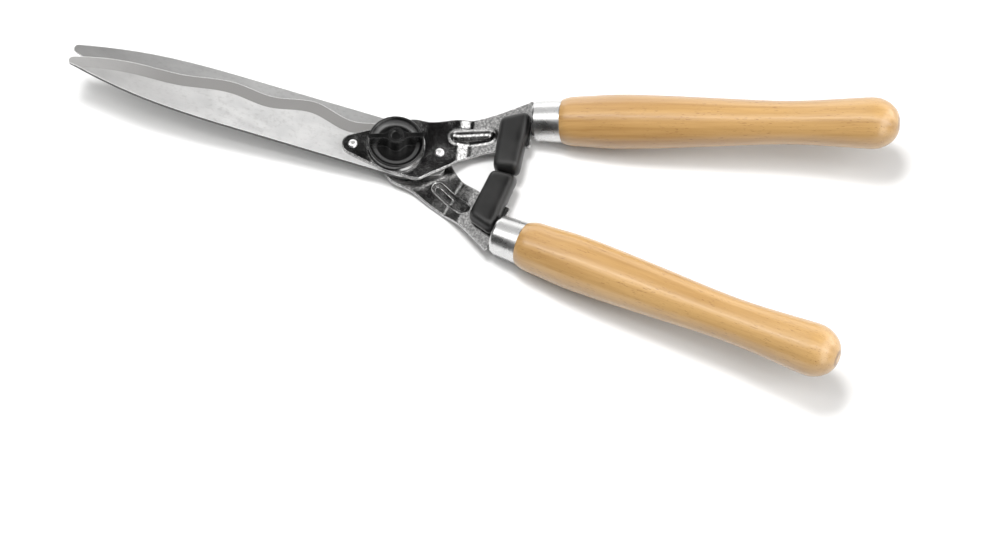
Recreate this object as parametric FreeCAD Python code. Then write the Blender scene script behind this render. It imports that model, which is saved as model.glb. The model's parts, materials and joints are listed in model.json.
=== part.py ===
import FreeCAD, Part
import math
import os

# Two-handed hedge shears, closed, as they lie at rest. Every size is in millimetres.
# They are drawn in a tool frame first: the blades slide on the plane z = 0, the pivot axis
# is Z, the handles point along +X, the upper handle is on the +Y side, and the upper blade
# on the -Y side. The last step lays the tool down on its bolt head and ferrules.

V = FreeCAD.Vector
ORIGIN = V(0, 0, 0)
WIDE = 400.0                # more than the tool is wide, for blocks that cut right across it

# Blades
BLADE_THICKNESS = 3.5
BLADE_GAP = 0.1            # each blade stands this far from the sliding plane
BLADE_LENGTH = 253.5       # pivot axis to tip
SPINE_Y = -21.8
CUTTING_LAND = 0.5         # thickness left at the cutting edge
BEVEL_WIDTH = 10.8
EDGE_POINTS = [            # the wavy cutting edge, from beyond the tip to the root
    (-258, -4.6), (-250, -1.7), (-232, 3.2), (-200, 7.6), (-168, 9.2), (-128, 14.9),
    (-99, 12.7), (-67, 18.2), (-37, 12.0), (-21, 15.2), (-6, 17.4),
]
SPINE_POINTS = [(-249.5, -9.2), (-232, -13.0), (-200, -18.2), (-165, -21.0), (-130, SPINE_Y)]
FRONT_RIVET = (-30.5, -8.4)
REAR_RIVET = (32.5, 4.6)
TAIL_RADIUS = 6.8

# Pressed carriers
SHEET = 3.0
NOSE_RADIUS = 8.0
BEND_RADIUS = 7.0
UPPER_BENDS = [(44.5, 0.0)]  # the bends before the ramp: level distance, height above the flat
LOWER_BENDS = [(43.5, 0.0), (56.0, 1.7)]
UPPER_RAMP = 54.0            # where each sheet meets the ramp
LOWER_RAMP = 69.0
UPPER_BEAD = [(41.0, 21.3), (62.7, 29.5)]  # the raised bead, between the centres of its round ends
LOWER_BEAD = [(39.4, 19.2), (61.8, 32.2)]  # the sunk bead
UPPER_BEAD_TOP = 10.6        # height of the round ridge
BEAD_RADIUS = 5.5
LOWER_BEAD_STEPS = [(5.5, 1.8), (4.7, 2.2)]  # the sunk bead's side: radius, depth under the sheet's middle
BEAD_WALL = 1.4
TANG_WIDTH = 12.0
TANG_LENGTH = 98.0

# Handles
HANDLE_FRONT = V(113.0, 51.7, 19.0)
HALF_ANGLE = 10.4          # each handle's angle from the centre line, seen from above
CRANK = 15.0               # how far the handles rise from the blade plane
HANDLE_LENGTH = 246.5
HANDLE_PROFILE = [         # distance from the front, radius
    (0.0, 16.2), (3.5, 17.5), (14.0, 18.6), (34.0, 19.8), (58.0, 19.9), (90.0, 18.8),
    (128.0, 17.1), (166.0, 15.9), (200.0, 17.2), (224.0, 18.6),
]
BUTT_START = 229.0
BUTT_RADIUS = 18.6
SPIGOT_RADIUS = 13.3
FERRULE_LENGTH = 21.9
FERRULE_FRONT_RADIUS = 14.8
FERRULE_BACK_RADIUS = 15.8
FERRULE_WALL = 1.3
FERRULE_CORNER = 2.4

# Rubber buffers, in the frame of their handle: along it, across it, off the sheet's middle
BUFFER_BASE = [              # its outer end, then a width beyond the middle of the tool
    (-46.2, 0.4), (-22.3, 6.2), (-30.0, -80.0), (-49.2, -80.0),
]
BUFFER_DRAFT = 1.0           # how much narrower its top is, at the front and at the back
BUFFER_END_DRAFT = 3.0       # how much shorter its top is, at each end
BUFFER_MIDDLE = -34.5
BUFFER_TOP = 13.2
BUFFER_UNDER = -1.5
BUFFER_ROUND = 4.2
CONTACT_GAP = 0.1
CONTACT_UPRIGHT = 6.6        # height of its upright contact face
CONTACT_LEAN = 20.0          # how far the face leans back above that, in degrees
STUD_RADIUS = 2.0
STUD_HEAD_RADIUS = 4.0
STUD_HEAD = 1.6
STUD_REACH = 8.5
STUD_PLACES = (-9.0, -18.0)

# Pivot bolt, bush and washers
SHANK_RADIUS = 4.0
RUNNING_FIT = 0.05
NECK_SIDE = 8.0
BOLT_HEAD_RADIUS = 11.0
BOLT_HEAD_HEIGHT = 5.0
BOLT_HEAD_CHAMFER = 1.0
BUSH_RADIUS = 7.0
SPRING_RADIUS = 14.0
SPRING_SHEET = 0.7
WASHER_RADIUS = 21.7
WASHER_SHEET = 1.2
WASHER_SKIRT = 2.0
FACE_GAP = 0.1

# Tension knob
KNOB_RADIUS = 20.8
KNOB_BASE = 9.4
KNOB_RIM = 14.2
KNOB_FLOOR = 11.0
KNOB_SLOPE = [               # the dish from the rim to its floor: radius, height
    (18.3, 13.4), (16.4, 11.9), (14.6, 11.15), (12.6, KNOB_FLOOR),
]
KNOB_TOP = 24.2
HUB_RADIUS = 6.4
BAR_HALF_LENGTH = 19.9
BAR_HALF_WIDTH = 1.9
BAR_FLARE = 7.0            # radius of the flare from the bar into the hub
BAR_ANGLE = 20.0
INSERT_RADIUS = 5.3
INSERT_FLANGE_RADIUS = 8.8
INSERT_FLANGE = 0.8
INSERT_TOP = 20.0
SHANK_TOP = 19.5
CAP_BOTTOM = 20.5
CAP_DISH_RADIUS = 3.5

# Rivets
RIVET_RADIUS = 2.4
RIVET_HEAD_RADIUS = 3.5
RIVET_HEAD = 1.7
RIVET_SINK_RADIUS = 3.6
RIVET_SINK = 1.2

# Levels of the stack on the pivot
BLADE_TOP = BLADE_GAP + BLADE_THICKNESS
SHEET_TOP = BLADE_TOP + SHEET
SHEET_MIDDLE = BLADE_TOP + SHEET / 2
HEAD_FACE = SHEET_TOP + BOLT_HEAD_HEIGHT

# Directions of the upper handle
crank = math.radians(CRANK)
half_angle = math.radians(HALF_ANGLE)
ALONG = V(math.cos(crank) * math.cos(half_angle), math.cos(crank) * math.sin(half_angle), math.sin(crank))
ACROSS = V(-math.sin(half_angle), math.cos(half_angle), 0)
OFF = ALONG.cross(ACROSS)
LEVEL_ALONG = V(math.cos(half_angle), math.sin(half_angle), 0)


# ---- helpers

def flat(point, z=0.0):
    return V(point[0], point[1], z)


def line(a, b):
    return Part.makeLine(a, b)


def arc(a, b, c):
    return Part.Arc(a, b, c).toShape()


def spline(points):
    curve = Part.BSplineCurve()
    curve.interpolate(points)
    return curve.toShape()


def prism(edges, direction):
    face = Part.Face(Part.Wire(Part.__sortEdges__(edges)))
    return face.extrude(direction)


def polygon_prism(points, direction):
    return Part.Face(Part.makePolygon(points + [points[0]])).extrude(direction)


def turned(profile, base=ORIGIN, axis=V(0, 0, 1), outward=V(1, 0, 0)):
    """Turns a closed profile of (distance along the axis, radius) points about the axis."""
    points = [base + axis * along + outward * radius for along, radius in profile]
    face = Part.Face(Part.makePolygon(points + [points[0]]))
    return face.revolve(base, axis, 360)


def cylinder(radius, low, high, centre=(0, 0)):
    return Part.makeCylinder(radius, high - low, V(centre[0], centre[1], low))


def in_handle(along, across=0.0, off=0.0):
    return HANDLE_FRONT + ALONG * along + ACROSS * across + OFF * off


def handle_block(along, across, off):
    """A block given by its (low, high) along, across and off the upper handle's axis."""
    corners = [(along[0], across[0]), (along[1], across[0]), (along[1], across[1]), (along[0], across[1])]
    points = [in_handle(a, c, off[0]) for a, c in corners]
    return polygon_prism(points, OFF * (off[1] - off[0]))


def to_lower_side(shape):
    """The mirror image across the centre line, for what the two handles share."""
    return shape.mirror(ORIGIN, V(0, 1, 0))


def turned_over(shape):
    """Half a turn about X, for what lies on the other side of the sliding plane."""
    copy = shape.copy()
    copy.rotate(ORIGIN, V(1, 0, 0), 180)
    return copy


def single(shape):
    """The one solid that a boolean leaves, with the seams between coplanar faces removed."""
    clean = shape.removeSplitter()
    return max(clean.Solids, key=lambda solid: solid.Volume)


# ---- blades

def blade_outline():
    tip = [flat(p) for p in ((-250, -1.7), (-BLADE_LENGTH, -5.5), SPINE_POINTS[0])]
    tail = flat(REAR_RIVET)
    return [
        spline([flat(p) for p in EDGE_POINTS[1:]]),
        arc(*tip),
        spline([flat(p) for p in SPINE_POINTS]),
        line(flat(SPINE_POINTS[-1]), V(8, SPINE_Y, 0)),
        arc(V(8, SPINE_Y, 0), V(17.4, -19.6, 0), V(24, -14.2, 0)),
        line(V(24, -14.2, 0), tail + V(TAIL_RADIUS * 0.8, -TAIL_RADIUS * 0.6, 0)),
        arc(tail + V(TAIL_RADIUS * 0.8, -TAIL_RADIUS * 0.6, 0), tail + V(TAIL_RADIUS, 0, 0),
            tail + V(TAIL_RADIUS * 0.6, TAIL_RADIUS * 0.8, 0)),
        line(tail + V(TAIL_RADIUS * 0.6, TAIL_RADIUS * 0.8, 0), V(14, 19.4, 0)),
        arc(V(14, 19.4, 0), V(4, 19.4, 0), flat(EDGE_POINTS[-1])),
    ]


def bevel_cutter():
    """A wedge along the cutting edge. Its section is the same all the way, so each of its
    faces is the edge curve drawn out along one side of the section."""
    curve = spline([flat(p) for p in EDGE_POINTS])
    land = BLADE_GAP + CUTTING_LAND
    slope = (BLADE_THICKNESS - CUTTING_LAND) / BEVEL_WIDTH
    reach = 4.0
    section = [V(0, reach, land - slope * reach), V(0, -BEVEL_WIDTH, BLADE_TOP),
               V(0, -BEVEL_WIDTH, BLADE_TOP + 1), V(0, reach, BLADE_TOP + 1)]
    faces = []
    for start, end in zip(section, section[1:] + section[:1]):
        faces.append(curve.translated(start).extrude(end - start))
    for point in (EDGE_POINTS[0], EDGE_POINTS[-1]):
        ring = [flat(point) + corner for corner in section]
        faces.append(Part.Face(Part.makePolygon(ring + [ring[0]])))
    shell = Part.makeShell(faces)
    shell.sewShape()
    solid = Part.Solid(shell)
    if solid.Volume < 0:
        solid.reverse()
    return solid


def plain_blade():
    body = prism(blade_outline(), V(0, 0, BLADE_THICKNESS)).translated(V(0, 0, BLADE_GAP))
    body = body.cut(bevel_cutter())
    for place in (FRONT_RIVET, REAR_RIVET):
        body = body.cut(rivet(place))
    return body


def upper_blade():
    return single(plain_blade().cut(cylinder(BUSH_RADIUS, -1, SHEET_TOP)))


def lower_blade():
    return single(turned_over(plain_blade()).cut(square_neck(RUNNING_FIT)))


# ---- rivets

def rivet(place):
    """A rivet of the upper half: domed outside, and countersunk flush in the blade."""
    crown = RIVET_HEAD * 0.6
    profile = [
        (BLADE_GAP, 0), (BLADE_GAP, RIVET_SINK_RADIUS), (BLADE_GAP + RIVET_SINK, RIVET_RADIUS),
        (SHEET_TOP, RIVET_RADIUS), (SHEET_TOP, RIVET_HEAD_RADIUS), (SHEET_TOP + crown, RIVET_HEAD_RADIUS * 0.86),
        (SHEET_TOP + RIVET_HEAD, RIVET_HEAD_RADIUS * 0.45), (SHEET_TOP + RIVET_HEAD, 0),
    ]
    return turned(profile, base=flat(place))


def upper_blade_rivets():
    return Part.makeCompound([rivet(place) for place in (FRONT_RIVET, REAR_RIVET)])


# ---- pressed carriers

def carrier_outline():
    """The plan of the pressed sheet, from its nose round the outer side to the ferrule and back."""
    nose = flat(FRONT_RIVET)
    top = nose + V(-0.6 * NOSE_RADIUS, 0.8 * NOSE_RADIUS, 0)
    bottom = nose + V(-0.2 * NOSE_RADIUS, -0.98 * NOSE_RADIUS, 0)
    outer = [V(12, 25.6, 0), V(21, 27.2, 0), V(33, 32.6, 0), V(55, 42.0, 0), V(72, 52.3, 0), V(84.8, 61.2, 0)]
    inner = [V(93.2, 25.8, 0), V(71.8, 18.1, 0), V(57.0, 10.6, 0), V(43.0, -2.2, 0)]
    return [
        arc(top, nose + V(-NOSE_RADIUS, 0, 0), bottom),
        line(top, V(-1, 20.6, 0)),
        arc(V(-1, 20.6, 0), V(5, 24.2, 0), outer[0]),
        spline(outer),
        arc(outer[-1], V(87.4, 62.4, 0), V(88.8, 60.4, 0)),
        line(V(88.8, 60.4, 0), V(95.2, 27.8, 0)),
        arc(V(95.2, 27.8, 0), V(94.8, 26.4, 0), inner[0]),
        spline(inner),
        line(inner[-1], V(27.2, -17.0, 0)),
        arc(V(27.2, -17.0, 0), V(23.6, -20.2, 0), V(18.6, -21.4, 0)),
        spline([V(18.6, -21.4, 0), V(-7.4, -20.2, 0), bottom]),
    ]


def ramp_height(distance):
    """The height of the cranked sheet's middle, at a level distance along the handle."""
    front = HANDLE_FRONT.dot(LEVEL_ALONG)
    return HANDLE_FRONT.z + (distance - front) * math.tan(crank)


def offset_corner(points, index, offset):
    """The corner of a parallel line: points are (distance, height) pairs."""
    def heading(i):
        (x0, z0), (x1, z1) = points[i], points[i + 1]
        return math.atan2(z1 - z0, x1 - x0)
    before = heading(max(index - 1, 0))
    after = heading(min(index, len(points) - 2))
    middle = (before + after) / 2
    stretch = offset / math.cos((after - before) / 2)
    x, z = points[index]
    return (x - math.sin(middle) * stretch, z + math.cos(middle) * stretch), after - before


def rounded_line(points, offset):
    """Straight runs joined by tangent arcs, at a given offset from the sheet's middle."""
    corners = [offset_corner(points, i, offset) for i in range(len(points))]
    place = [LEVEL_ALONG * x + V(0, 0, z) for (x, z), _ in corners]
    edges = []
    start = place[0]
    for i in range(1, len(points) - 1):
        turn = corners[i][1]
        radius = BEND_RADIUS - math.copysign(offset, turn)
        back = (place[i - 1] - place[i]).normalize()
        ahead = (place[i + 1] - place[i]).normalize()
        tangent = radius * math.tan(abs(turn) / 2)
        inward = (back + ahead).normalize() * (radius / math.cos(turn / 2) - radius)
        entry = place[i] + back * tangent
        leave = place[i] + ahead * tangent
        edges += [line(start, entry), arc(entry, place[i] + inward, leave)]
        start = leave
    edges.append(line(start, place[-1]))
    return edges, place[0], place[-1]


def sheet_section(level, bends, ramp):
    """The sheet's bends as (level distance, height): flat, then bends, then the ramp of the handle."""
    end = HANDLE_FRONT.dot(LEVEL_ALONG) - 8
    knees = [(distance, level + rise) for distance, rise in bends]
    return [(-80, level)] + knees + [(ramp, ramp_height(ramp)), (end, ramp_height(end))]


def wide_prism(edges):
    return prism(edges, ACROSS * WIDE).translated(ACROSS * (-WIDE / 2))


def bent_band(section):
    """A wide band of sheet with the given bends."""
    top, top_start, top_end = rounded_line(section, SHEET / 2)
    bottom, bottom_start, bottom_end = rounded_line(section, -SHEET / 2)
    return wide_prism(top + bottom + [line(top_start, bottom_start), line(top_end, bottom_end)])


def between(first, second):
    """The wide space between two bent surfaces, each given as (section, offset)."""
    near, near_start, near_end = rounded_line(*first)
    far, far_start, far_end = rounded_line(*second)
    return wide_prism(near + far + [line(near_start, far_start), line(near_end, far_end)])


def slot_prism(radius, ends):
    """A round-ended slot, drawn out straight up through the whole tool."""
    start, end = (flat(point, -WIDE / 2) for point in ends)
    axis = (end - start).normalize()
    side = V(-axis.y, axis.x, 0) * radius
    edges = [
        line(start + side, end + side), arc(end + side, end + axis * radius, end - side),
        line(end - side, start - side), arc(start - side, start - axis * radius, start + side),
    ]
    return prism(edges, V(0, 0, WIDE))


def plain_carrier(section):
    """A carrier on the +Y side, without its bead: the bent sheet and the tang."""
    outline = prism(carrier_outline(), V(0, 0, WIDE)).translated(V(0, 0, -WIDE / 2))
    tang = handle_block((-FERRULE_LENGTH - 3, TANG_LENGTH - FERRULE_LENGTH),
                        (-TANG_WIDTH / 2, TANG_WIDTH / 2), (-SHEET / 2, SHEET / 2))
    return bent_band(section).common(outline).fuse(tang)


def wide_block(bottom):
    return Part.makeBox(WIDE, WIDE, WIDE, V(-WIDE / 2, -WIDE / 2, bottom))


def round_ridge(radius, ends, axis_z):
    """A level round-topped ridge with straight walls below its axis."""
    start, end = (flat(point, axis_z) for point in ends)
    upper_half = slot_prism(radius + 1, ends).common(wide_block(axis_z))
    parts = [Part.makeSphere(radius, start), Part.makeSphere(radius, end)]
    parts.append(Part.makeCylinder(radius, (end - start).Length, start, end - start))
    crown = parts[0].fuse(parts[1:]).common(upper_half)
    walls = slot_prism(radius, ends).common(wide_block(axis_z - WIDE))
    return crown.fuse(walls)


def with_raised_bead(sheet, section, ends):
    axis_z = UPPER_BEAD_TOP - BEAD_RADIUS
    ridge = round_ridge(BEAD_RADIUS, ends, axis_z)
    above = between((section, 0), ([(section[0][0], WIDE / 2), (section[-1][0], WIDE / 2)], 0))
    return sheet.fuse(ridge.common(above)).cut(round_ridge(BEAD_RADIUS - BEAD_WALL, ends, axis_z))


def with_sunk_bead(sheet, section, ends):
    for radius, depth in LOWER_BEAD_STEPS:
        sheet = sheet.fuse(slot_prism(radius, ends).common(between((section, 0), (section, -depth))))
    for radius, depth in LOWER_BEAD_STEPS:
        hollow = between((section, BEAD_WALL - depth), (section, SHEET))
        sheet = sheet.cut(slot_prism(radius - BEAD_WALL, ends).common(hollow))
    return sheet


def upper_carrier():
    section = sheet_section(SHEET_MIDDLE, UPPER_BENDS, UPPER_RAMP)
    body = with_raised_bead(plain_carrier(section), section, UPPER_BEAD)
    body = body.cut(cylinder(BUSH_RADIUS, 0, SHEET_TOP + 1))
    body = body.cut(Part.makeCompound([rivet(FRONT_RIVET), rivet(REAR_RIVET)] + buffer_studs_of_side()))
    return single(body)


def lower_carrier():
    section = sheet_section(-SHEET_MIDDLE, LOWER_BENDS, LOWER_RAMP)
    body = with_sunk_bead(plain_carrier(section), section, LOWER_BEAD)
    body = body.cut(Part.makeCompound(buffer_studs_of_side()))
    body = to_lower_side(body).cut(square_neck(RUNNING_FIT))
    return single(body.cut(turned_over(upper_blade_rivets())))


# ---- handles and ferrules

def upper_ferrule():
    front = -FERRULE_LENGTH
    back = -0.1
    inner_front = FERRULE_FRONT_RADIUS - FERRULE_WALL
    inner_back = FERRULE_BACK_RADIUS - FERRULE_WALL
    corner = FERRULE_CORNER
    bevel = corner * 0.3
    profile = [
        (front, 0), (front, FERRULE_FRONT_RADIUS - corner), (front + bevel, FERRULE_FRONT_RADIUS - bevel),
        (front + corner, FERRULE_FRONT_RADIUS), (back, FERRULE_BACK_RADIUS), (back, inner_back),
        (front + corner, inner_front), (front + FERRULE_WALL, inner_front - corner / 2),
        (front + FERRULE_WALL, 0),
    ]
    shell = turned(profile, HANDLE_FRONT, ALONG, ACROSS)
    return single(shell.cut(tang_slot(-FERRULE_LENGTH - 1)))


def tang_slot(start):
    room = 0.05
    return handle_block((start, TANG_LENGTH - FERRULE_LENGTH + 1),
                        (-TANG_WIDTH / 2 - room, TANG_WIDTH / 2 + room), (-SHEET / 2 - room, SHEET / 2 + room))


def upper_handle():
    """Turned beech: a spigot inside the ferrule, a full front, a waist and a round butt."""
    def at(along, radius):
        return in_handle(along, radius)
    spigot_front = -FERRULE_LENGTH + FERRULE_WALL + 0.5
    slimming = math.cos(math.pi / 4)
    depth = HANDLE_LENGTH - BUTT_START
    edges = [
        line(at(spigot_front, 0), at(spigot_front, SPIGOT_RADIUS - 2)),
        line(at(spigot_front, SPIGOT_RADIUS - 2), at(spigot_front + 3, SPIGOT_RADIUS)),
        line(at(spigot_front + 3, SPIGOT_RADIUS), at(0, SPIGOT_RADIUS)),
        line(at(0, SPIGOT_RADIUS), at(*HANDLE_PROFILE[0])),
        spline([at(*p) for p in HANDLE_PROFILE] + [at(BUTT_START, BUTT_RADIUS),
               at(BUTT_START + depth * slimming, BUTT_RADIUS * slimming), at(HANDLE_LENGTH, 0)]),
        line(at(HANDLE_LENGTH, 0), at(spigot_front, 0)),
    ]
    face = Part.Face(Part.Wire(Part.__sortEdges__(edges)))
    solid = face.revolve(HANDLE_FRONT, ALONG, 360)
    return single(solid.cut(tang_slot(spigot_front - 1)))


# ---- buffers

def buffer_studs_of_side():
    """Two mushroom studs that hold the buffer to the upper carrier's sheet."""
    bottom = -SHEET / 2
    profile = [
        (bottom - STUD_HEAD, 0), (bottom - STUD_HEAD, STUD_HEAD_RADIUS * 0.7), (bottom, STUD_HEAD_RADIUS),
        (bottom, STUD_RADIUS), (STUD_REACH - STUD_HEAD, STUD_RADIUS), (STUD_REACH - STUD_HEAD, STUD_HEAD_RADIUS),
        (STUD_REACH, STUD_HEAD_RADIUS), (STUD_REACH, 0),
    ]
    return [turned(profile, in_handle(BUFFER_MIDDLE, across), OFF, ALONG) for across in STUD_PLACES]


def buffer_ring(off, draft, end_draft):
    """The outline of the block at one height off the sheet's middle, before its inner end is cut."""
    middle = sum(along for along, _ in BUFFER_BASE) / len(BUFFER_BASE)
    points = []
    for along, across in BUFFER_BASE:
        inward = draft if along < middle else -draft
        shorter = end_draft if across > -TANG_WIDTH else 0
        points.append(in_handle(along + inward, across - shorter, off))
    return Part.makePolygon(points + [points[0]])


def upper_buffer():
    """A drafted rubber block on the sheet. Its inner end stands past the sheet's edge, and its
    contact face is upright at the foot and leans back above."""
    base = buffer_ring(BUFFER_UNDER, 0, 0)
    top = buffer_ring(BUFFER_TOP, BUFFER_DRAFT, BUFFER_END_DRAFT)
    block = Part.makeLoft([base, top], True, True)
    upright = in_handle(BUFFER_MIDDLE, 0, BUFFER_UNDER).z + CONTACT_UPRIGHT
    lean = WIDE * math.tan(math.radians(CONTACT_LEAN))
    contact = [
        V(0, CONTACT_GAP, upright - WIDE), V(0, CONTACT_GAP, upright),
        V(0, CONTACT_GAP + lean, upright + WIDE), V(0, -WIDE, upright + WIDE), V(0, -WIDE, upright - WIDE),
    ]
    block = single(block.cut(polygon_prism(contact, V(WIDE, 0, 0))))
    block = block.makeFillet(BUFFER_ROUND, block.Edges)
    return single(block.cut(upper_carrier()).cut(Part.makeCompound(buffer_studs_of_side())))


def upper_buffer_studs():
    return Part.makeCompound(buffer_studs_of_side())


# ---- pivot

def square_neck(room=0.0):
    side = NECK_SIDE + 2 * room
    height = SHEET + BLADE_THICKNESS
    return Part.makeBox(side, side, height, V(-side / 2, -side / 2, -SHEET_TOP))


def pivot_bolt():
    edge = BOLT_HEAD_RADIUS - BOLT_HEAD_CHAMFER
    profile = [
        (-HEAD_FACE, 0), (-HEAD_FACE, edge), (-HEAD_FACE + BOLT_HEAD_CHAMFER, BOLT_HEAD_RADIUS),
        (-SHEET_TOP, BOLT_HEAD_RADIUS), (-SHEET_TOP, SHANK_RADIUS), (SHANK_TOP, SHANK_RADIUS), (SHANK_TOP, 0),
    ]
    return single(turned(profile).fuse(square_neck()))


def pivot_bush():
    bore = cylinder(SHANK_RADIUS + RUNNING_FIT, 0, SHEET_TOP)
    return cylinder(BUSH_RADIUS, BLADE_GAP, SHEET_TOP).cut(bore)


def spring_washer():
    """A dished spring washer between the upper carrier and the cup washer."""
    low = SHEET_TOP + FACE_GAP
    high = KNOB_BASE - FACE_GAP - WASHER_SHEET
    bore = SHANK_RADIUS + 0.3
    profile = [(high - SPRING_SHEET, bore), (high, bore), (low + SPRING_SHEET, SPRING_RADIUS), (low, SPRING_RADIUS)]
    return turned(profile)


def cup_washer():
    """A chromed cup that covers the spring, under the knob."""
    top = KNOB_BASE - FACE_GAP
    under = top - WASHER_SHEET
    rim = top - WASHER_SKIRT
    bore = SHANK_RADIUS + 0.1
    wall = WASHER_SHEET
    profile = [
        (top, bore), (top, WASHER_RADIUS - wall), (top - wall, WASHER_RADIUS), (rim, WASHER_RADIUS),
        (rim, WASHER_RADIUS - wall), (under, WASHER_RADIUS - wall), (under, bore),
    ]
    return turned(profile)


# ---- knob

def bar_outline():
    """The grip bar's plan: straight, and flared smoothly into the round hub."""
    reach = HUB_RADIUS + BAR_FLARE
    rise = BAR_HALF_WIDTH + BAR_FLARE
    centre = V(math.sqrt(reach ** 2 - rise ** 2), rise, 0)
    on_bar = centre + V(0, -BAR_FLARE, 0)
    on_hub = centre * (HUB_RADIUS / reach)
    between = centre + ((on_bar - centre) + (on_hub - centre)).normalize() * BAR_FLARE
    corner = V(BAR_HALF_LENGTH, BAR_HALF_WIDTH, 0)
    half = [line(corner, on_bar), arc(on_bar, between, on_hub)]
    half.append(arc(on_hub, V(0, HUB_RADIUS, 0), V(-on_hub.x, on_hub.y, 0)))
    half += [edge.mirror(ORIGIN, V(1, 0, 0)) for edge in half[:2]]
    half.append(arc(corner, V(BAR_HALF_LENGTH + 0.6, 0, 0), V(corner.x, -corner.y, 0)))
    turned_half = []
    for edge in half:
        copy = edge.copy()
        copy.rotate(ORIGIN, V(0, 0, 1), 180)
        turned_half.append(copy)
    return half + turned_half


def knob_dish():
    """The knob's round cup, with a rounded rim and a hollowed face."""
    def at(radius, height):
        return V(radius, 0, height)
    lip = KNOB_RADIUS - 1.4
    edges = [
        line(at(0, KNOB_BASE), at(KNOB_RADIUS - 0.6, KNOB_BASE)),
        line(at(KNOB_RADIUS - 0.6, KNOB_BASE), at(KNOB_RADIUS, KNOB_BASE + 0.6)),
        line(at(KNOB_RADIUS, KNOB_BASE + 0.6), at(KNOB_RADIUS, KNOB_RIM - 1.0)),
        arc(at(KNOB_RADIUS, KNOB_RIM - 1.0), at(KNOB_RADIUS - 0.4, KNOB_RIM - 0.3), at(lip, KNOB_RIM)),
        spline([at(lip, KNOB_RIM)] + [at(*p) for p in KNOB_SLOPE]),
        line(at(*KNOB_SLOPE[-1]), at(0, KNOB_FLOOR)),
        line(at(0, KNOB_FLOOR), at(0, KNOB_BASE)),
    ]
    return Part.Face(Part.Wire(Part.__sortEdges__(edges))).revolve(ORIGIN, V(0, 0, 1), 360)


def knob_body():
    bar = prism(bar_outline(), V(0, 0, KNOB_TOP - KNOB_BASE)).translated(V(0, 0, KNOB_BASE))
    bar.rotate(ORIGIN, V(0, 0, 1), BAR_ANGLE)
    body = knob_dish().fuse(bar)
    body = body.cut(cylinder(INSERT_RADIUS, 0, KNOB_TOP + 1))
    return single(body.cut(cylinder(INSERT_FLANGE_RADIUS, 0, KNOB_BASE + INSERT_FLANGE)))


def knob_insert():
    sleeve = cylinder(INSERT_RADIUS, KNOB_BASE, INSERT_TOP)
    flange = cylinder(INSERT_FLANGE_RADIUS, KNOB_BASE, KNOB_BASE + INSERT_FLANGE)
    return single(sleeve.fuse(flange).cut(cylinder(SHANK_RADIUS + RUNNING_FIT, 0, INSERT_TOP + 1)))


def knob_cap():
    profile = [
        (CAP_BOTTOM, 0), (CAP_BOTTOM, INSERT_RADIUS), (KNOB_TOP, INSERT_RADIUS), (KNOB_TOP, CAP_DISH_RADIUS + 0.6),
        (KNOB_TOP - 0.8, CAP_DISH_RADIUS), (KNOB_TOP - 0.8, 0),
    ]
    return turned(profile)


# ---- the whole tool

def rest_tilt():
    """The angle at which the tool lies when its bolt head and both ferrules touch the table."""
    foot = in_handle(FERRULE_CORNER - FERRULE_LENGTH, 0, -FERRULE_FRONT_RADIUS)
    head_edge = BOLT_HEAD_RADIUS - BOLT_HEAD_CHAMFER
    return math.degrees(math.atan2(foot.z + HEAD_FACE, foot.x - head_edge))


def laid_down(shape):
    """Moves a shape from the tool frame to the part's frame, whose origin is the bolt head's face."""
    raised = shape.translated(V(0, 0, HEAD_FACE))
    raised.rotate(ORIGIN, V(0, 1, 0), rest_tilt())
    return raised


upper_side = {
    "ferrule": upper_ferrule(),
    "handle": upper_handle(),
    "buffer": upper_buffer(),
    "buffer_studs": upper_buffer_studs(),
}

nodes = {
    "upper_blade": upper_blade(),
    "lower_blade": lower_blade(),
    "upper_carrier": upper_carrier(),
    "lower_carrier": lower_carrier(),
    "upper_blade_rivets": upper_blade_rivets(),
    "lower_blade_rivets": turned_over(upper_blade_rivets()),
    "pivot_bolt": pivot_bolt(),
    "pivot_bush": pivot_bush(),
    "spring_washer": spring_washer(),
    "cup_washer": cup_washer(),
    "knob_body": knob_body(),
    "knob_insert": knob_insert(),
    "knob_cap": knob_cap(),
}
for name, shape in upper_side.items():
    nodes["upper_" + name] = shape
    nodes["lower_" + name] = to_lower_side(shape)

os.makedirs("parts", exist_ok=True)
for name, shape in nodes.items():
    laid_down(shape).exportStep("parts/" + name + ".step")
    print(name, "solids", len(shape.Solids), "valid", shape.isValid(), "volume", round(shape.Volume / 1000, 2), "cm3")
print("rest tilt", round(rest_tilt(), 3))
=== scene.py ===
import json
import math
import bpy
from mathutils import Matrix, Vector


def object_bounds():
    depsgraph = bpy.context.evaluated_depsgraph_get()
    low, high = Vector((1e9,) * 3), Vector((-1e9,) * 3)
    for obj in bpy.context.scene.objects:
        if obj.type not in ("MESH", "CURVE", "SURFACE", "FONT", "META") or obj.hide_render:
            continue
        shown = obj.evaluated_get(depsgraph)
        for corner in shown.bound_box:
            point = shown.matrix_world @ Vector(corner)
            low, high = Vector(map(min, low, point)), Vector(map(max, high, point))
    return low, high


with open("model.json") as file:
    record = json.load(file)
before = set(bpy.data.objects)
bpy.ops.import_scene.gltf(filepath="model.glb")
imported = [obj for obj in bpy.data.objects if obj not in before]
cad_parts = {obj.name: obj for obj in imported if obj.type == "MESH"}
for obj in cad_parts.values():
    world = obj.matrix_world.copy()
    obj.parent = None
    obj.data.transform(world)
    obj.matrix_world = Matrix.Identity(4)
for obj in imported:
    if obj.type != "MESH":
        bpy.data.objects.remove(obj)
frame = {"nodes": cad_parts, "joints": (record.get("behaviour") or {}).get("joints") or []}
low_start, high_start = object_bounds()
NODES = frame["nodes"]

# ---- the tool frame: blades slide on its plane z = 0, millimetres, laid down on the table

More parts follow.
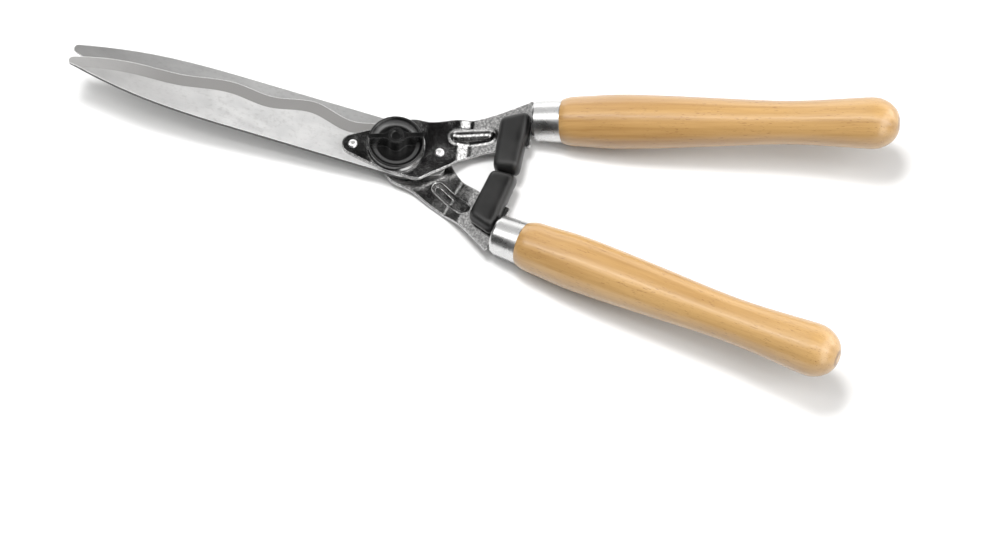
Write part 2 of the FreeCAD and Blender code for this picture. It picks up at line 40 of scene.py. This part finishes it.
AXIS = Vector(next(j for j in frame["joints"] if j["name"] == "blade_pivot")["axis"])
TILT = math.atan2(AXIS.x, AXIS.z)
HEAD_FACE = 11.6
TO_PART = Matrix.Rotation(TILT, 4, "Y") @ Matrix.Translation((0, 0, HEAD_FACE))
CRANK = math.radians(15.0)
HALF_ANGLE = math.radians(10.4)
HANDLE_FRONT = (113.0, 51.7, 19.0)
BEVEL_ANGLE = math.radians(15.5)
UPPER_BEAD = ((41.0, 21.3), (62.7, 29.5))
LOWER_BEAD = ((39.4, -19.2), (61.8, -32.2))
AXES = ((1, 0, 0), (0, 1, 0), (0, 0, 1))
SHARP_ANGLE = math.radians(28)


def tool_direction(x, y, z):
    return TO_PART.to_3x3() @ Vector((x, y, z))


def tool_point(x, y, z):
    return (TO_PART @ Vector((x, y, z))) / 1000


def tool_level(z):
    """A height in the tool frame, as the dot product of a part point with the tool's up direction."""
    return (z + HEAD_FACE) / 1000


def handle_axes(side):
    """Along, across and off one handle, in the part's frame. side is +1 for the upper handle."""
    along = Vector((math.cos(CRANK) * math.cos(HALF_ANGLE), side * math.cos(CRANK) * math.sin(HALF_ANGLE),
                    math.sin(CRANK)))
    across = Vector((-math.sin(HALF_ANGLE), side * math.cos(HALF_ANGLE), 0))
    off = along.cross(across) * side
    return [tool_direction(*v) for v in (along, across, off)]


# ---- node helpers

class Graph:
    """A short way to write a node tree: each call adds a node and returns its output."""

    def __init__(self, tree):
        self.tree = tree
        tree.nodes.clear()

    def node(self, kind, inputs=(), out=0, **settings):
        made = self.tree.nodes.new(kind)
        for name, value in settings.items():
            setattr(made, name, value)
        for key, value in dict(inputs).items():
            socket = made.inputs[key]
            if isinstance(value, bpy.types.NodeSocket):
                self.tree.links.new(value, socket)
            else:
                socket.default_value = value
        return made.outputs[out]

    def math(self, operation, *values, clamp=False):
        return self.node("ShaderNodeMath", enumerate(values), operation=operation, use_clamp=clamp)

    def dot(self, a, b):
        return self.node("ShaderNodeVectorMath", {0: a, 1: b}, "Value", operation="DOT_PRODUCT")

    def scaled(self, vector, factors):
        return self.node("ShaderNodeVectorMath", {0: vector, 1: factors}, operation="MULTIPLY")

    def noise(self, vector, scale, detail=3.0, rough=0.5):
        inputs = {"Vector": vector, "Scale": scale, "Detail": detail, "Roughness": rough}
        return self.node("ShaderNodeTexNoise", inputs)

    def ramp(self, value, low, high, to_low=0.0, to_high=1.0, smooth=True):
        kind = "SMOOTHSTEP" if smooth else "LINEAR"
        inputs = {"Value": value, "From Min": low, "From Max": high, "To Min": to_low, "To Max": to_high}
        return self.node("ShaderNodeMapRange", inputs, interpolation_type=kind)

    def mix(self, factor, a, b):
        inputs = {0: factor, 6: a, 7: b}
        return self.node("ShaderNodeMix", inputs, 2, data_type="RGBA")

    def bump(self, height, distance, strength=1.0, normal=None):
        inputs = {"Height": height, "Distance": distance, "Strength": strength}
        if normal is not None:
            inputs["Normal"] = normal
        return self.node("ShaderNodeBump", inputs)

    def capsule(self, place, start, end):
        """How far the shaded point is from the line between two points of the tool plane, in metres."""
        first, last = Vector((*start, 0)) / 1000, Vector((*end, 0)) / 1000
        run = last - first
        offset = self.node("ShaderNodeVectorMath", {0: place, 1: tuple(first)}, operation="SUBTRACT")
        offset = self.scaled(offset, (1, 1, 0))
        share = self.math("DIVIDE", self.dot(offset, tuple(run)), run.length_squared, clamp=True)
        nearest = self.node("ShaderNodeVectorMath", {0: tuple(run), "Scale": share}, operation="SCALE")
        return self.node("ShaderNodeVectorMath", {0: offset, 1: nearest}, "Value", operation="DISTANCE")

    def soft_edges(self, radius):
        return self.node("ShaderNodeBevel", {"Radius": radius}, samples=6)

    def surface(self, **inputs):
        named = {key.replace("_", " "): value for key, value in inputs.items()}
        shader = self.node("ShaderNodeBsdfPrincipled", named)
        self.node_out("ShaderNodeOutputMaterial", shader)

    def node_out(self, kind, shader):
        target = self.tree.nodes.new(kind)
        self.tree.links.new(shader, target.inputs["Surface"])

    def place(self):
        return self.node("ShaderNodeTexCoord", out="Object")

    def local_normal(self):
        return self.node("ShaderNodeTexCoord", out="Normal")

    def along_axes(self, axes):
        """The place of the shaded point along three directions."""
        place = self.place()
        parts = [self.dot(place, tuple(axis)) for axis in axes]
        return self.node("ShaderNodeCombineXYZ", enumerate(parts))

    def tool_place(self):
        return self.along_axes([tool_direction(*axis) for axis in AXES])

    def band(self, value, start, full, last_full, end):
        """1 between full and last_full, fading to 0 at start and at end."""
        return self.math("MULTIPLY", self.ramp(value, start, full), self.ramp(value, end, last_full))


def material(name):
    made = bpy.data.materials.new(name)
    made.use_nodes = True
    return made, Graph(made.node_tree)


def grey(value, warm=0.0):
    return (value * (1 + warm), value, value * (1 - warm), 1)


# ---- finishes

def blade_steel(name, bevel_side, outer_side, body):
    """Ground satin steel. The ground bevel along the edge is darker. Painted shade darkens the tip and
    the sides, and a painted highlight runs as a bright line round each flat. body is the grey of the flats."""
    made, g = material(name)
    bevel_normal = tool_direction(0, bevel_side * math.sin(BEVEL_ANGLE), outer_side * math.cos(BEVEL_ANGLE))
    flat_normal = tuple(tool_direction(0, 0, 1))
    normal = g.local_normal()
    flatness = g.math("ABSOLUTE", g.dot(normal, flat_normal))
    side = g.ramp(flatness, 0.6, 0.3)
    place = g.tool_place()
    along = g.dot(place, (1, 0, 0))
    cloud = g.noise(g.scaled(place, (40, 90, 90)), 1.6, 6.0, 0.7)
    mottle = g.noise(g.scaled(place, (260, 420, 420)), 1.0, 4.0, 0.65)
    grind = g.noise(g.scaled(place, (1500, 60, 60)), 1.0, 2.0)
    bevel = g.ramp(g.dot(normal, tuple(bevel_normal)), 0.985, 0.997)
    bevel = g.math("MULTIPLY", bevel, g.ramp(along, -0.25, -0.17, 0.45, 1.0))
    tone = g.mix(g.ramp(cloud, 0.35, 0.68), grey(body * 0.93), grey(body, 0.004))
    tone = g.mix(g.ramp(mottle, 0.48, 0.70, 0.0, 0.55), tone, grey(body * 0.72, 0.01))
    # Painted shade: the flats darken towards the tip.
    tone = g.mix(g.ramp(along, -0.10, -0.26, 0.0, 0.75), tone, grey(body * 0.52, 0.01))
    tone = g.mix(bevel, tone, grey(body * 0.37, 0.018))
    face_normal = g.node("ShaderNodeNewGeometry", out="True Normal")
    # Painted highlight: a bright line painted round each flat, along its edges.
    painted_rim_highlight = g.ramp(g.dot(g.soft_edges(0.0013), face_normal), 0.97, 0.90)
    tone = g.mix(g.math("MULTIPLY", painted_rim_highlight, 0.75), tone, grey(0.95))
    # Painted shade: the blade's narrow side faces are painted near black.
    tone = g.mix(side, tone, grey(0.03, 0.01))
    rough = g.ramp(cloud, 0.3, 0.7, 0.30, 0.40)
    rough = g.math("ADD", rough, g.math("MULTIPLY", bevel, 0.05))
    normal = g.bump(grind, 0.00002, 0.5, g.soft_edges(0.00035))
    g.surface(Base_Color=tone, Metallic=0.6, Roughness=rough, Normal=normal)
    return made


def chrome_sheet(name, bead, inner, outer, height):
    """Bright-plated pressed sheet whose rolled texture shows as speckle under the plating.
    The bead's line is given by its ends. Its side curves from inner to outer, up by height, all
    in millimetres; with outer the smaller, the bead is sunk."""
    made, g = material(name)
    place = g.place()
    speckle = g.noise(place, 620.0, 4.0, 0.75)
    cloud = g.noise(place, 60.0, 4.0, 0.6)
    tone = g.mix(g.ramp(speckle, 0.36, 0.68), grey(0.26), grey(0.62, 0.005))
    rough = g.ramp(cloud, 0.35, 0.7, 0.12, 0.26)
    distance = g.capsule(g.tool_place(), *bead)
    side = g.ramp(distance, outer / 1000, inner / 1000)
    normal = g.bump(side, height / 1000, 1.0, g.soft_edges(0.0016))
    normal = g.bump(speckle, 0.00009, 0.5, normal)
    normal = g.bump(cloud, 0.0008, 0.3, normal)
    g.surface(Base_Color=tone, Metallic=1.0, Roughness=rough, Normal=normal)
    return made


def bright_metal(name, tone, roughness, radius=0.0004):
    made, g = material(name)
    place = g.place()
    cloud = g.noise(place, 90.0, 3.0)
    fine = g.noise(place, 1400.0, 2.0)
    colour = g.mix(g.ramp(cloud, 0.3, 0.7), tuple(c * 0.93 for c in tone[:3]) + (1,), tone)
    rough = g.ramp(cloud, 0.3, 0.7, roughness * 0.8, roughness * 1.25)
    normal = g.bump(fine, 0.00001, 0.3, g.soft_edges(radius))
    g.surface(Base_Color=colour, Metallic=1.0, Roughness=rough, Normal=normal)
    return made


def black_plastic():
    """Glossy black plastic, with a painted highlight: a paler ring on the slope of the knob's dish."""
    made, g = material("knob_plastic")
    place = g.place()
    cloud = g.noise(place, 70.0, 3.0)
    grain = g.noise(place, 2400.0, 2.0)
    colour = g.mix(g.ramp(cloud, 0.3, 0.7), grey(0.0020), grey(0.0035))
    rough = g.ramp(cloud, 0.3, 0.7, 0.20, 0.28)
    tool_place = g.tool_place()
    radius = g.node("ShaderNodeVectorMath", {0: g.scaled(tool_place, (1, 1, 0))}, "Value", operation="LENGTH")
    # Painted highlight: a paler ring on the slope of the dish, where the concave wall catches the overhead
    # light, kept below the rim's level.
    ring = g.band(radius, 0.0140, 0.0156, 0.0170, 0.0184)
    level = g.node("ShaderNodeSeparateXYZ", {0: tool_place}, "Z")
    ring = g.math("MULTIPLY", ring, g.ramp(level, tool_level(15.0), tool_level(14.4)))
    colour = g.mix(ring, colour, grey(0.052))
    normal = g.bump(grain, 0.00001, 0.35, g.soft_edges(0.0007))
    g.surface(Base_Color=colour, Roughness=rough, Normal=normal, IOR=1.5)
    return made


def black_rubber():
    made, g = material("black_rubber")
    place = g.place()
    cloud = g.noise(place, 55.0, 4.0)
    grain = g.noise(place, 1900.0, 3.0)
    colour = g.mix(g.ramp(cloud, 0.3, 0.75), grey(0.006), grey(0.012, 0.01))
    rough = g.ramp(cloud, 0.3, 0.7, 0.28, 0.38)
    normal = g.bump(grain, 0.00003, 0.4, g.soft_edges(0.0045))
    g.surface(Base_Color=colour, Roughness=rough, Normal=normal, IOR=1.48)
    return made


def beech(name, side):
    """Lacquered beech: fine straight grain, darker growth bands, short brown flecks, and the dark
    ring that the lathe centre leaves in the butt."""
    made, g = material(name)
    axes = handle_axes(side)
    front = tool_point(HANDLE_FRONT[0], side * HANDLE_FRONT[1], HANDLE_FRONT[2])
    place = g.along_axes(axes)
    start = [front.dot(axis) for axis in axes]
    centred = g.node("ShaderNodeVectorMath", {0: place, 1: start}, operation="SUBTRACT")
    along = g.dot(centred, (1, 0, 0))
    radius = g.node("ShaderNodeVectorMath", {0: g.scaled(centred, (0, 1, 1))}, "Value", operation="LENGTH")
    ring = g.band(radius, 0.0026, 0.0040, 0.0056, 0.0070)
    ring = g.math("MULTIPLY", ring, g.ramp(along, 0.225, 0.235))
    cut_from = (side * 0.7, side * 0.2, 0.13)
    place = g.node("ShaderNodeVectorMath", {0: place, 1: cut_from}, operation="ADD")
    drift = g.noise(g.scaled(place, (5, 22, 22)), 1.0, 3.0)
    bands = g.noise(g.scaled(place, (3, 130, 60)), 1.0, 4.0, 0.62)
    fine = g.noise(g.scaled(place, (18, 900, 900)), 1.0, 3.0)
    flecks = g.noise(g.scaled(place, (210, 1500, 1500)), 1.0, 1.0)
    sparse = g.noise(g.scaled(place, (40, 90, 90)), 1.0, 2.0)
    tone = g.mix(g.ramp(bands, 0.28, 0.74), (0.27, 0.146, 0.044, 1), (0.43, 0.262, 0.098, 1))
    tone = g.mix(g.ramp(drift, 0.35, 0.70, 0.0, 0.6), tone, (0.47, 0.293, 0.116, 1))
    tone = g.mix(g.ramp(fine, 0.45, 0.75, 0.0, 0.22), tone, (0.25, 0.122, 0.038, 1))
    fleck = g.math("MULTIPLY", g.ramp(flecks, 0.63, 0.70), g.ramp(sparse, 0.40, 0.56))
    tone = g.mix(g.math("MULTIPLY", fleck, 0.55), tone, (0.15, 0.062, 0.020, 1))
    tone = g.mix(g.math("MULTIPLY", ring, 0.6), tone, (0.10, 0.045, 0.015, 1))
    height = g.math("SUBTRACT", g.math("MULTIPLY", fine, 0.5), fleck)
    normal = g.bump(height, 0.00008, 0.35)
    coat = g.bump(g.noise(g.scaled(place, (90, 220, 220)), 1.0, 3.0), 0.00040, 0.42)
    g.surface(Base_Color=tone, Roughness=0.46, Normal=normal, Coat_Weight=0.75, Coat_Roughness=0.11,
              Coat_Normal=coat, Coat_IOR=1.5)
    return made


def floor_paper():
    made, g = material("floor_paper")
    place = g.place()
    cloud = g.noise(place, 2.0, 3.0)
    tone = g.mix(g.ramp(cloud, 0.2, 0.8), grey(0.63), grey(0.65))
    g.surface(Base_Color=tone, Roughness=0.85)
    return made


FINISH = {
    "upper_blade": blade_steel("upper_blade_steel", 1, 1, 0.64),
    "lower_blade": blade_steel("lower_blade_steel", -1, -1, 0.42),
    "upper_carrier": chrome_sheet("upper_chrome", UPPER_BEAD, 4.6, 8.0, 0.4),
    "lower_carrier": chrome_sheet("lower_chrome", LOWER_BEAD, 5.4, 2.0, 3.4),
    "blade_rivets": bright_metal("rivet_steel", grey(0.92), 0.38),
    "ferrule": bright_metal("ferrule_chrome", grey(0.66), 0.27, 0.0010),
    "upper_handle": beech("upper_beech", 1),
    "lower_handle": beech("lower_beech", -1),
    "buffer": black_rubber(),
    "buffer_studs": bright_metal("stud_steel", grey(0.66), 0.3),
    "pivot_bolt": bright_metal("bolt_steel", grey(0.62), 0.25),
    "pivot_bush": bright_metal("bush_bronze", (0.60, 0.40, 0.20, 1), 0.3),
    "spring_washer": bright_metal("spring_steel", grey(0.45), 0.3),
    "cup_washer": bright_metal("cup_chrome", grey(0.30), 0.2),
    "knob_body": black_plastic(),
    "knob_insert": bright_metal("insert_brass", (0.75, 0.55, 0.25, 1), 0.25),
}
FINISH["knob_cap"] = FINISH["knob_body"]


def finish_of(name):
    return FINISH.get(name) or FINISH[name.split("_", 1)[1]]


for name, shown in NODES.items():
    shown.data.materials.clear()
    shown.data.materials.append(finish_of(name))
    shown.data.polygons.foreach_set("use_smooth", [True] * len(shown.data.polygons))
    shown.data.set_sharp_from_angle(angle=SHARP_ANGLE)

# The moulded buffers have no crisp corners: the shown surface is eased inside the CAD one.
for name in ("upper_buffer", "lower_buffer"):
    even = NODES[name].modifiers.new("even", "REMESH")
    even.mode = "VOXEL"
    even.voxel_size = 0.0007
    even.use_smooth_shade = True
    ease = NODES[name].modifiers.new("ease", "SMOOTH")
    ease.factor = 1.0
    ease.iterations = 40


# ---- table, light and camera

FLOOR_HALF = 6
FLOOR_DROP = 0.00002


def square_floor():
    mesh = bpy.data.meshes.new("floor")
    corners = [(x * FLOOR_HALF, y * FLOOR_HALF, 0) for x, y in ((-1, -1), (1, -1), (1, 1), (-1, 1))]
    mesh.from_pydata(corners, [], [(0, 1, 2, 3)])
    mesh.materials.append(floor_paper())
    made = bpy.data.objects.new("floor", mesh)
    made.location = (0, 0, low_start.z - FLOOR_DROP)
    bpy.context.scene.collection.objects.link(made)
    return made


floor = square_floor()


def area_light(name, place, size, energy, aim=(0.03, 0, 0)):
    data = bpy.data.lights.new(name, "AREA")
    data.shape = "RECTANGLE"
    data.size, data.size_y = size
    data.energy = energy
    made = bpy.data.objects.new(name, data)
    made.location = place
    made.rotation_euler = (Vector(aim) - Vector(place)).to_track_quat("-Z", "Y").to_euler()
    made.visible_glossy = False
    bpy.context.scene.collection.objects.link(made)
    return made


area_light("key_light", (-0.15, 0.31, 1.97), (0.58, 0.48), 39)


def studio_world():
    """What the bright metal reflects: a long soft box overhead with a bright strip in it, a dark
    room towards the front and far left, a lit wall behind and to the right, and a dark flag over
    the flat sheets. Directions are angles from straight up, towards the front and sideways."""
    world = bpy.data.worlds.new("studio")
    world.use_nodes = True
    g = Graph(world.node_tree)
    direction = g.node("ShaderNodeTexCoord", out="Generated")
    parts = g.tree.nodes.new("ShaderNodeSeparateXYZ")
    g.tree.links.new(direction, parts.inputs[0])
    x, y, z = parts.outputs
    front = g.math("MULTIPLY", g.math("ARCTAN2", g.math("MULTIPLY", y, -1.0), z), 180 / math.pi)
    sideways = g.math("MULTIPLY", g.math("ARCSINE", x), 180 / math.pi)
    box = g.band(front, -16.0, -8.0, 20.0, 28.0)
    strip = g.band(front, 2.0, 5.0, 8.0, 11.0)
    back = g.band(front, -110.0, -95.0, -68.0, -56.0)
    dark_front = g.band(front, 20.0, 30.0, 86.0, 100.0)
    right = g.band(sideways, 28.0, 38.0, 55.0, 70.0)
    pale = g.band(sideways, -52.0, -44.0, -24.0, -17.0)
    left = g.ramp(sideways, -46.0, -54.0)
    across_flag = g.band(sideways, -19.0, -13.0, 23.0, 29.0)
    along_flag = g.band(front, -44.0, -36.0, -16.0, -10.0)
    flag = g.math("MULTIPLY", across_flag, along_flag)
    level = 0.26
    for lit, strength in ((box, 1.25), (strip, 4.0), (pale, 0.62), (back, 1.3)):
        level = g.math("ADD", level, g.math("MULTIPLY", lit, strength))
    for shaded, kept in ((dark_front, 0.10), (flag, 0.06), (left, 0.15)):
        level = g.math("MULTIPLY", level, g.ramp(shaded, 0.0, 1.0, 1.0, kept))
    level = g.math("ADD", level, g.math("MULTIPLY", right, 2.5))
    shader = g.node("ShaderNodeBackground", {"Color": (1, 0.995, 0.985, 1), "Strength": level})
    g.node_out("ShaderNodeOutputWorld", shader)
    return world


scene = bpy.context.scene
scene.world = studio_world()
scene.view_settings.view_transform = "Standard"
scene.view_settings.look = "None"
scene.view_settings.exposure = 0.0

ELEVATION, ROLL, TURN = (math.radians(a) for a in (67.18, -8.78, -8.47))
CAMERA_PLACE = (204.84, -765.59, 1677.79)
tool_to_camera = (Matrix.Rotation(ROLL, 3, "Z")
                  @ Matrix(((1, 0, 0), (0, math.sin(ELEVATION), math.cos(ELEVATION)),
                            (0, -math.cos(ELEVATION), math.sin(ELEVATION))))
                  @ Matrix.Rotation(TURN, 3, "Z"))
camera_data = bpy.data.cameras.new("camera")
camera_data.sensor_fit = "HORIZONTAL"
camera_data.sensor_width = 36
camera_data.lens = 90
camera_data.clip_end = 50
camera = bpy.data.objects.new("camera", camera_data)
scene.collection.objects.link(camera)
turned = (TO_PART.to_3x3() @ tool_to_camera.transposed()).to_4x4()
camera.matrix_world = Matrix.Translation(tool_point(*CAMERA_PLACE)) @ turned
scene.camera = camera
